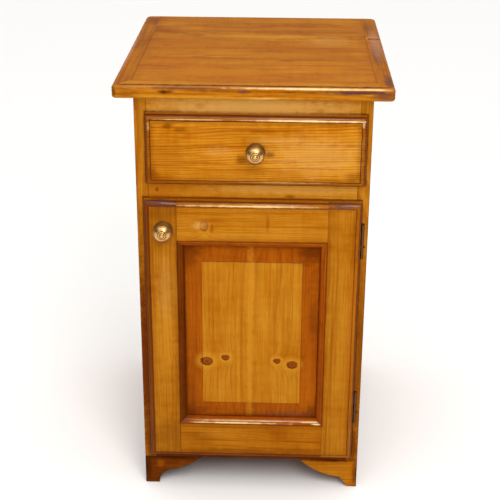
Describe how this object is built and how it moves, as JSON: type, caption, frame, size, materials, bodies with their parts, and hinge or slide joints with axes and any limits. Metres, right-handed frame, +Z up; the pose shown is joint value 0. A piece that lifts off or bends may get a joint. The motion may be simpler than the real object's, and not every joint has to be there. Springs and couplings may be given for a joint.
{
  "type": "cabinet with drawer and door",
  "caption": "Small upright pine cabinet: a lay-on drawer over a raised-panel door on side hinges, overhanging top with mitred lipping, shaped bracket feet, brass knobs.",
  "frame": {"origin": "on the floor, under the middle of the whole object's box", "axes": "+Z up, -Y out of the front (drawer and door open that way), +X to the right seen from the front"},
  "size_m": [0.489, 0.5864, 0.824],
  "materials": {
    "pine_finished": "honey-coloured varnish, satin, worn and darkened with age",
    "pine_bare": "bare planed pine, aged",
    "plywood": "bare birch plywood",
    "brass": "polished brass, slightly tarnished",
    "steel": "zinc-plated steel",
    "catch_plastic": "brown moulded plastic"
  },
  "bodies": {
    "carcass": {"back_boards": "pine_bare", "catch_body": "catch_plastic", "cupboard_floor": "pine_bare", "drawer_divider": "pine_finished", "drawer_kicker_left": "pine_bare", "drawer_kicker_right": "pine_bare", "drawer_runner_left": "pine_bare", "drawer_runner_right": "pine_bare", "foot_back_left": "pine_finished", "foot_back_right": "pine_finished", "foot_front_left": "pine_finished", "foot_front_right": "pine_finished", "foot_glue_blocks": "pine_bare", "foot_side_back_left": "pine_finished", "foot_side_back_right": "pine_finished", "foot_side_front_left": "pine_finished", "foot_side_front_right": "pine_finished", "hinge_frame_screws": "brass", "hinge_lower_frame_leaf": "brass", "hinge_pins": "brass", "hinge_upper_frame_leaf": "brass", "shelf": "pine_bare", "shelf_batten_left": "pine_bare", "shelf_batten_right": "pine_bare", "side_left": "pine_finished", "side_right": "pine_finished", "top_back_rail": "pine_bare", "top_board_back": "pine_finished", "top_board_front": "pine_finished", "top_board_middle": "pine_finished", "top_board_rear": "pine_finished", "top_fixing_screws": "steel", "top_front_rail": "pine_finished", "top_lipping_front": "pine_finished", "top_lipping_left": "pine_finished", "top_lipping_right": "pine_finished"},
    "drawer": {"drawer_front": "pine_finished", "drawer_box_front": "pine_bare", "drawer_side_left": "pine_bare", "drawer_side_right": "pine_bare", "drawer_back": "pine_bare", "drawer_bottom": "plywood", "drawer_knob": "brass", "drawer_knob_bolt": "steel", "drawer_front_screws": "steel"},
    "door": {"catch_strike": "steel", "door_knob": "brass", "door_knob_bolt": "steel", "door_moulding_bottom": "pine_finished", "door_moulding_left": "pine_finished", "door_moulding_right": "pine_finished", "door_moulding_top": "pine_finished", "door_panel": "pine_finished", "door_rail_bottom": "pine_finished", "door_rail_top": "pine_finished", "door_stile_left": "pine_finished", "door_stile_right": "pine_finished", "hinge_door_screws": "brass", "hinge_lower_door_leaf": "brass", "hinge_upper_door_leaf": "brass"}
  },
  "joints": [
    {"name": "drawer_slide", "type": "slide", "parent": "carcass", "child": "drawer", "axis": [0, -1, 0], "range_m": [0, 0.36]},
    {"name": "door_hinge", "type": "hinge", "parent": "carcass", "child": "door", "pos_m": [0.2, -0.244, 0.34], "axis": [0, 0, 1], "range_deg": [0, 105]}
  ]
}
